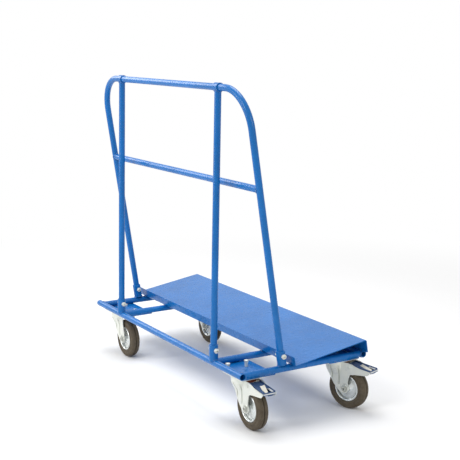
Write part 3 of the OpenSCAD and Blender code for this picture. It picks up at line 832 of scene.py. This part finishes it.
def rimPart():
    r, edge, bend = rim, rim["hubEdge"], rim["discRound"]
    outer, lip = r["edge"] - r["beadIn"], r["half"] - r["lip"]
    half = [(r["bore"], r["hubHalf"]), (r["hub"] - edge, r["hubHalf"]), (r["hub"], r["hubHalf"] - edge),
            (r["hub"], r["discHalf"] + r["neck"]), (r["hub"] + r["flare"], r["discHalf"] + r["flareH"])]
    half += arcPoints(r["disc"] - bend, r["discHalf"] - bend, bend, 90, 0, 5)
    half += [(r["disc"] + r["draft"], r["channelHalf"]), (r["channel"], r["channelHalf"])]
    half += arcPoints(outer - r["bead"], r["half"] - r["bead"], r["bead"], 180, 0, 10)
    half += [(outer, lip), (r["seat"] + r["draft"], lip)]
    return lathe(bothSides(half), steps=72)


tyre = {"half": 20.0, "lip": 3.2, "seatGap": 0.5, "rimGap": 0.3, "toe": 1.6, "toeIn": 0.8, "sweep": 5.0,
        "shoulder": 12.0, "groove": 4.4, "grooveDeep": 4.2, "grooveSide": 0.8,
        "line": 63.0, "lineHalf": 1.6, "lineFoot": 1.0, "lineDeep": 1.1}


def tyrePart():
    t, edge, wall, line = tyre, rim["edge"], tyre["half"], tyre["line"]
    toe, lip, deep = edge + t["rimGap"], rim["half"] - t["lip"], wall - t["lineDeep"]
    half = [(rim["seat"] + t["seatGap"], lip), (toe, lip), (toe, wall - t["toe"]),
            (edge + t["toe"], wall - t["toeIn"]), (edge + t["sweep"], wall)]
    half += [(line - t["lineHalf"], wall), (line - t["lineFoot"], deep),
             (line + t["lineFoot"], deep), (line + t["lineHalf"], wall)]
    half += arcPoints(wheelR - t["shoulder"], wall - t["shoulder"], t["shoulder"], 90, 0, 8)
    half += [(wheelR, t["groove"] / 2), (wheelR - t["grooveDeep"], t["groove"] / 2 - t["grooveSide"])]
    return lathe(bothSides(half), steps=96)


def wheelPieces(corner):
    plane = casterPlane(corner) @ shift(trail, 0, wheelR) @ zToY
    piece = bmesh.new()
    join(piece, rimPart(), plane)
    finish(corner + "_rim_pressing", piece, rimZinc, [corner + "_rim"])
    piece = bmesh.new()
    join(piece, tyrePart(), plane)
    finish(corner + "_tyre_ring", piece, tyreRubber, [corner + "_tyre"])


for corner in corners:
    forkPiece(corner, corner.endswith("right"))
    axlePiece(corner)
    wheelPieces(corner)

ringSpec = {"wall": 6.0, "round": 2.5, "waist": 1.0, "skirt": 3.5, "skirtEdge": 0.6}
ringLow, ringHigh = boxOf("dust_rings")
ringR = sheetR - caster["sheet"] - caster["gap"]
skirtR = crownSpec["reach"] + caster["gap"]


def dustRing():
    low, high, r, cut = ringLow.z, ringHigh.z, ringSpec["round"], ringSpec["skirtEdge"]
    bore, foot = ringR - ringSpec["wall"], low - ringSpec["skirt"]   # hangs over the crown's edge
    profile = [(bore, high), (bore, low), (skirtR, low), (skirtR, foot), (ringR - cut, foot)]
    profile += [(ringR, foot + cut), (ringR, low + r), (ringR - ringSpec["waist"], (low + high) / 2)]
    profile += arcPoints(ringR - r, high - r, r, 0, 90, 5)
    return lathe(profile, steps=72)


piece = bmesh.new()
for corner in corners:
    join(piece, dustRing(), casterPlane(corner))
finish("dust_ring_set", piece, ringRubber, ["dust_rings"])
print("casters made")


# Brakes

brake = {"slope": 5.8, "width": 50.0, "sheet": 2.5, "rise": 6.6, "back": 10.0, "front": 95.0,
         "corner": 1.5, "seat": 1.0, "ear": 7.5, "earRound": 0.98,
         "shoeW": 30.0, "shoeAt": 28.0, "shoeDrop": 8.6, "shoeRound": 3.0,
         "slotFrom": 52.0, "slotTo": 87.0, "slotLow": -1.0, "slotHigh": 16.0}
padSpec = {"thick": 2.0, "front": 4.0, "back": 1.0, "corner": 2.0, "border": 2.6, "wall": 3.6,
           "pitch": 4.0, "rib": 0.7, "ribEdge": 0.6}
trim = {"tongue": 2.2, "keeper": 1.6, "sunk": 1.2}       # how thick, and how deep in the pad

# Outlines on the tread: along from the hinge pin, across, and the corner's radius
tongue = [(30, -1, 1.0), (64, -12, 8.0), (88, -13.5, 1.5), (83, -1, 1.5), (46, 13, 8.0), (26, 21, 1.0),
          (31, 8, 1.0)]
keeper = [(57, 16, 0.8), (86, 13, 0.8), (86, 21, 1.5), (57, 21, 1.5)]


def pedalPlane(corner):
    return casterPlane(corner) @ shift(pinX, 0, pinZ) @ turn(brake["slope"], "Y")


def lay(part):                               # an upright outline is laid flat
    part.transform(Matrix(((1, 0, 0, 0), (0, 0, 1, 0), (0, 1, 0, 0), (0, 0, 0, 1))))
    bmesh.ops.reverse_faces(part, faces=part.faces)
    return part


def slottedFace(x0, x1, corner, xs=(), ys=()):
    b, y = brake, brake["width"] / 2
    part = outlineFace([(x0, -y, corner), (x1, -y, corner), (x1, y, corner), (x0, y, corner)])
    cutAt(part, 0, [b["slotFrom"], b["slotTo"], *xs])
    cutAt(part, 2, [b["slotLow"], b["slotHigh"], *ys])
    hole = []
    for face in part.faces:
        c = face.calc_center_median()
        if b["slotFrom"] < c.x < b["slotTo"] and b["slotLow"] < c.z < b["slotHigh"]:
            hole.append(face)
    bmesh.ops.delete(part, geom=hole, context="FACES")
    return part


def treadPart():
    b = brake
    return lay(raiseFace(slottedFace(-b["back"], b["front"], b["corner"]), b["sheet"]))


def earPart():                               # a round ear, standing up to the tread
    half, top = brake["ear"], brake["rise"] - brake["seat"]
    r = half * brake["earRound"]
    outline = [(-half, top, 0), (-half, -half, r), (half, -half, r), (half, top, 0)]
    return raiseFace(outlineFace(outline), brake["sheet"])


def shoePart():
    half, top = brake["shoeW"] / 2, brake["rise"] - brake["seat"]
    foot, r = -brake["shoeDrop"], brake["shoeRound"]
    outline = [(-half, top, 0), (-half, foot, r), (half, foot, r), (half, top, 0)]
    return raiseFace(outlineFace(outline), brake["sheet"])


def upward(part):                            # the faces that look up
    return [f for f in part.faces if f.normal.z > 0.9]


def padPart():
    b, p = brake, padSpec
    x0, x1 = p["back"] - b["back"], b["front"] - p["front"]
    y = b["width"] / 2 - p["border"]
    face = slottedFace(x0, x1, p["corner"], evenly(x0, x1, p["pitch"]), [-y, y])
    part = lay(raiseFace(face, p["thick"]))
    top = [f for f in upward(part) if abs(f.calc_center_median().y) < y]
    ribs = [f for f in top if int((f.calc_center_median().x - x0) / p["pitch"]) % 2 == 0]
    bmesh.ops.inset_region(part, faces=ribs, thickness=p["ribEdge"], depth=0.0)
    bmesh.ops.translate(part, verts=list({v for f in ribs for v in f.verts}), vec=(0, 0, -p["rib"]))
    # the pad's navy side walls: partly a moulded rim, partly painted shade that darkens the arm's inner face
    # behind them
    walls = [f for f in upward(part) if abs(f.calc_center_median().y) > y]
    made = bmesh.ops.extrude_face_region(part, geom=walls)["geom"]
    bmesh.ops.delete(part, geom=walls, context="FACES_ONLY")
    tops = [g for g in made if isinstance(g, bmesh.types.BMVert)]
    bmesh.ops.translate(part, verts=tops, vec=(0, 0, p["wall"]))
    return clean(part)


def flatPart(outline, thick):                # a small plate that lies on the tread
    return lay(raiseFace(outlineFace(outline), thick))


tip = {"thick": 3.0, "deep": 5.0, "in": 0.3, "side": 1.0, "corner": 1.2}


def tipShadeStrip():                               # a navy strip clipped under the tip, standing in for the shadow under the tip's lip: painted shade
    x, y, r = brake["front"] - tip["in"], brake["width"] / 2 - tip["side"], tip["corner"]
    back = x - tip["deep"]
    return flatPart([(back, -y, 0), (x, -y, r), (x, y, r), (back, y, 0)], tip["thick"])


well = {"deep": 9.0, "out": 2.0, "corner": 1.0, "wall": 1.2, "floor": 1.0}


def slotShadePocket():                              # a navy pocket under the slot, standing in for the shade of the opening seen through it: painted shade
    out, r = well["out"], well["corner"]
    x0, x1 = brake["slotFrom"] - out, brake["slotTo"] + out
    y0, y1 = brake["slotLow"] - out, brake["slotHigh"] + out
    part = flatPart([(x0, y0, r), (x1, y0, r), (x1, y1, r), (x0, y1, r)], well["deep"])
    upper = upward(part)
    bmesh.ops.inset_region(part, faces=upper, thickness=well["wall"], depth=0.0)
    floor = list({v for f in upper for v in f.verts})
    bmesh.ops.translate(part, verts=floor, vec=(0, 0, well["floor"] - well["deep"]))
    return clean(part)


rivet = {"outer": 3.5, "wall": 0.7, "head": 6.0, "headH": 2.0, "bore": 2.8,
         "draft": 0.4, "roll": 1.6, "lip": 0.5}


def rivetPart():                             # the rolled end of a hollow rivet
    r, bore, height = rivet["head"], rivet["bore"], rivet["headH"]
    return lathe([(bore, 0), (r, 0), (r - rivet["draft"], 0.5 * height), (r - rivet["roll"], height),
                  (bore + rivet["lip"], 0.9 * height), (bore, 0.6 * height)], steps=36)


for corner in ("near_right", "far_right"):
    plane = pedalPlane(corner)
    under = brake["rise"] - brake["sheet"]
    onPad = plane @ shift(0, 0, brake["rise"] + padSpec["thick"] - trim["sunk"])
    piece = bmesh.new()
    join(piece, treadPart(), plane @ shift(0, 0, under))
    join(piece, flatPart(keeper, trim["keeper"]), onPad)
    for y in (-brake["width"] / 2, brake["width"] / 2 - brake["sheet"]):
        join(piece, earPart(), plane @ shift(0, y, 0))
    join(piece, shoePart(), plane @ shift(brake["shoeAt"], 0, 0) @ turn(90, "Z"))
    finish(corner + "_pedal_pressing", piece, pedalSteel, [corner + "_pedal"], edge=0.4)
    piece = bmesh.new()
    join(piece, padPart(), plane @ shift(0, 0, brake["rise"]))
    # the navy pocket under the slot is painted shade
    join(piece, slotShadePocket(), plane @ shift(0, 0, under - well["deep"]))
    # the navy strip under the tip is painted shade
    join(piece, tipShadeStrip(), plane @ shift(0, 0, under - tip["thick"]))
    finish(corner + "_tread_pad", piece, padNavy, [corner + "_pad"], edge=0.3)
    piece = bmesh.new()
    join(piece, flatPart(tongue, trim["tongue"]), onPad)
    finish(corner + "_tongue", piece, tongueCream, body=bodyOf[corner + "_pad"], edge=0.5)
    piece = bmesh.new()
    pin = casterPlane(corner) @ shift(pinX, 0, pinZ) @ zToY
    join(piece, tubePart(forkHalf, rivet["outer"], rivet["wall"], 0, -forkHalf), pin)
    for flip in (0, 180):
        join(piece, rivetPart(), pin @ turn(flip, "X") @ shift(0, 0, forkHalf))
    finish(corner + "_brake_rivet", piece, zincPlate, [corner + "_brake_pin"])
print("brakes made")


# Weld beads: rippled rounds laid along the joints

weld = {"radius": 1.9, "ripple": 0.2, "steps": 40, "step": 3.0, "out": 0.6, "smooth": 2}
socketWeld = {"out": 0.3, "low": 4.4, "across": 13.9}
footWeld = {"sweep": 35, "steps": 10, "down": 0.3}
mountWeld = {"in": 8.2, "up": 1.6}
tackWeld = {"in": 6.2, "up": 1.4, "steps": 4, "shares": (0.45, 0.85)}
deckWeld = {"in": 1.5, "down": 0.6, "steps": 3, "step": 2.5}
seamR = tubeR + weld["out"]


def beadLine(points, matrix=identity, cyclic=False):
    line = beads.splines.new("POLY")
    line.points.add(len(points) - 1)
    for i, point in enumerate(points):
        place = matrix @ Vector(point) * mm
        line.points[i].co = (*place, 1.0)
        line.points[i].radius = 1 + weld["ripple"] * (1 if i % 2 else -1)
    line.use_cyclic_u = cyclic


def runOf(steps, step):                      # places on both sides of the middle
    return [i * step for i in range(-steps, steps + 1)]


def saddleLoop(radius, onto, flip=1, floor=0.0, across=None):   # where a tube up Z meets a bar along X
    loop = []
    for i in range(weld["steps"]):
        a = 2 * pi * i / weld["steps"]
        x, y = radius * cos(a), (across or radius) * sin(a)
        loop.append((x, y, flip * max(sqrt(max(onto ** 2 - y ** 2, 0.0)), floor)))
    return loop


beads = bpy.data.curves.new("beads", "CURVE")
beads.dimensions = "3D"
beads.bevel_depth = weld["radius"] * mm
beads.bevel_resolution = weld["smooth"]
beads.use_fill_caps = True
for x in crossX.values():
    beadLine(saddleLoop(seamR, seamR), shift(x, nearY, railZ) @ zToY, cyclic=True)
    beadLine(saddleLoop(seamR, seamR, -1), shift(x, farY, railZ) @ zToY, cyclic=True)
for side in sides.values():
    bar = bowPlane @ shift(side * endX, 0, middleL) @ zToX
    beadLine(saddleLoop(seamR, seamR, -side), bar, cyclic=True)
    post = postPlane(side)
    loop = saddleLoop(socketR + socketWeld["out"], seamR, 1, socketWeld["low"], socketWeld["across"])
    beadLine(loop, post, cyclic=True)
    beadLine(saddleLoop(seamR, sleeveR + weld["out"], -1), post @ shift(0, 0, postL), cyclic=True)
    foot = bowPlane @ shift(side * endX, 0, legFoot - footWeld["down"])
    for middle in (-90, 90):
        start, end = middle - footWeld["sweep"], middle + footWeld["sweep"]
        arc = arcPoints(0, 0, socketR, start, end, footWeld["steps"])
        beadLine([(x, y, 0) for x, y in arc], foot)
for corner in corners:
    low, high = boxOf(corner + "_mount")
    inward = 1 if corner.startswith("near") else -1
    rail = nearY if inward > 0 else farY
    xs = evenly(low.x + tubeR, high.x - tubeR, weld["step"])
    y, z = rail + inward * mountWeld["in"], mountTop + mountWeld["up"]
    beadLine([(x, y, z) for x in xs])
    for tackX in (low.x + tackWeld["in"], high.x - tackWeld["in"]):
        for share in tackWeld["shares"]:
            middle = rail + inward * (high.y - low.y) * share
            ys = [middle + along for along in runOf(tackWeld["steps"], weld["step"])]
            beadLine([(tackX, y, mountTop + tackWeld["up"]) for y in ys])
for middle in crossX.values():
    xs = [middle + along for along in runOf(deckWeld["steps"], deckWeld["step"])]
    beadLine([(x, deckWeld["in"], -deckWeld["down"]) for x in xs], deckPlane)
holder = bpy.data.objects.new("beadHolder", beads)
bpy.context.scene.collection.objects.link(holder)
bpy.context.view_layer.update()
laid = bpy.data.meshes.new_from_object(holder.evaluated_get(bpy.context.evaluated_depsgraph_get()))
bpy.data.objects.remove(holder)
piece = bmesh.new()
piece.from_mesh(laid)
bmesh.ops.scale(piece, vec=(1 / mm, 1 / mm, 1 / mm), verts=piece.verts)
finish("weld_beads", clean(piece), weldPaint, body="cart_frame", sharp=60)
print("welds made")


# CAD nodes that stay, with their own finish

kept = {"kingpins": zincPlate}
kept.update({corner + "_bush": bushNylon for corner in corners})
for node, material in kept.items():
    mesh = frame["nodes"][node].data
    mesh.materials.clear()
    mesh.materials.append(material)


# Floor, light and camera

stage = {"radius": 9.0, "sides": 96, "floor": (0.90, 0.90, 0.90), "ambient": 0.42,
         "fadeFrom": 1.1, "fadeTo": 3.2, "aim": (0, -0.05, 0.5)}


def seenRay(nodes, links):                   # 1 for rays that show the background
    path = nodes.new("ShaderNodeLightPath")
    total = path.outputs["Is Camera Ray"]
    for ray in ("Is Glossy Ray", "Is Transmission Ray"):
        add = nodes.new("ShaderNodeMath")
        add.operation = "MAXIMUM"
        links.new(total, add.inputs[0])
        links.new(path.outputs[ray], add.inputs[1])
        total = add.outputs[0]
    return total


def makeFloor():
    bm = bmesh.new()
    bmesh.ops.create_circle(bm, segments=stage["sides"], radius=stage["radius"], cap_ends=True)
    mesh = bpy.data.meshes.new("floor")
    bm.to_mesh(mesh)
    bm.free()
    floor = bpy.data.objects.new("floor", mesh)
    bpy.context.scene.collection.objects.link(floor)
    f = Finish("pale floor")
    matt = f.node("ShaderNodeBsdfDiffuse", Color=(*stage["floor"], 1))
    glow = f.node("ShaderNodeEmission")
    far = f.node("ShaderNodeVectorMath", {0: f.place}, operation="LENGTH")
    fade = f.node("ShaderNodeMapRange", {"Value": far.outputs["Value"]}, interpolation_type="SMOOTHSTEP",
                  From_Min=stage["fadeFrom"], From_Max=stage["fadeTo"])
    seen = seenRay(f.nodes, f.links)
    both = f.node("ShaderNodeMath", {0: fade.outputs["Result"], 1: seen}, operation="MULTIPLY")
    mix = f.node("ShaderNodeMixShader", {0: both.outputs[0], 1: matt.outputs[0], 2: glow.outputs[0]})
    f.links.new(mix.outputs[0], f.nodes["Material Output"].inputs["Surface"])
    f.nodes.remove(f.shader)
    mesh.materials.append(f.material)
    floor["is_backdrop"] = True


def makeWorld():
    world = bpy.data.worlds.new("studio")
    bpy.context.scene.world = world
    world.use_nodes = True
    nodes, links = world.node_tree.nodes, world.node_tree.links
    nodes.clear()
    out = nodes.new("ShaderNodeOutputWorld")
    dim = nodes.new("ShaderNodeBackground")
    dim.inputs["Strength"].default_value = stage["ambient"]
    white = nodes.new("ShaderNodeBackground")
    mix = nodes.new("ShaderNodeMixShader")
    for back in (dim, white):
        back.inputs["Color"].default_value = (1, 1, 1, 1)
    links.new(seenRay(nodes, links), mix.inputs[0])
    links.new(dim.outputs[0], mix.inputs[1])
    links.new(white.outputs[0], mix.inputs[2])
    links.new(mix.outputs[0], out.inputs["Surface"])


lamps = [
    {"name": "keySoftbox", "at": (1.2, -3.4, 3.2), "size": 2.0, "power": 60},
    {"name": "topSoftbox", "at": (-0.4, 0.3, 4.0), "size": 2.6, "power": 90},
    {"name": "leftSoftbox", "at": (-3.5, -1.3, 2.6), "size": 2.2, "power": 54},
    {"name": "wallSoftbox", "at": (-1.1, -2.9, 1.5), "size": 0.6, "tall": 2.4, "power": 26},
    {"name": "endSoftbox", "at": (4.0, 0.8, 2.0), "size": 1.8, "power": 29},
]


def makeLamps():
    for lamp in lamps:
        light = bpy.data.lights.new(lamp["name"], "AREA")
        light.shape = "RECTANGLE" if "tall" in lamp else "DISK"
        light.size = lamp["size"]
        light.size_y = lamp.get("tall", lamp["size"])
        light.energy = lamp["power"]
        thing = bpy.data.objects.new(lamp["name"], light)
        bpy.context.scene.collection.objects.link(thing)
        aim = Vector(stage["aim"]) - Vector(lamp["at"])
        thing.location = lamp["at"]
        thing.rotation_euler = aim.to_track_quat("-Z", "Y").to_euler()


view = {"at": (3.5776, -2.1022, 1.3785), "pitch": 80.09, "heading": 59.05, "lens": 82.56,
        "sensor": 36.0, "shiftX": -0.0015, "shiftY": -0.0243}


def makeCamera():
    data = bpy.data.cameras.new("camera")
    data.sensor_width = view["sensor"]
    data.lens = view["lens"]
    data.shift_x = view["shiftX"]
    data.shift_y = view["shiftY"]
    camera = bpy.data.objects.new("camera", data)
    camera.location = view["at"]
    camera.rotation_euler = (radians(view["pitch"]), 0, radians(view["heading"]))
    bpy.context.scene.collection.objects.link(camera)
    bpy.context.scene.camera = camera


makeFloor()
makeWorld()
makeLamps()
makeCamera()
bpy.context.scene.view_settings.view_transform = "Standard"
print("stage, light and camera made")

low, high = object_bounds()
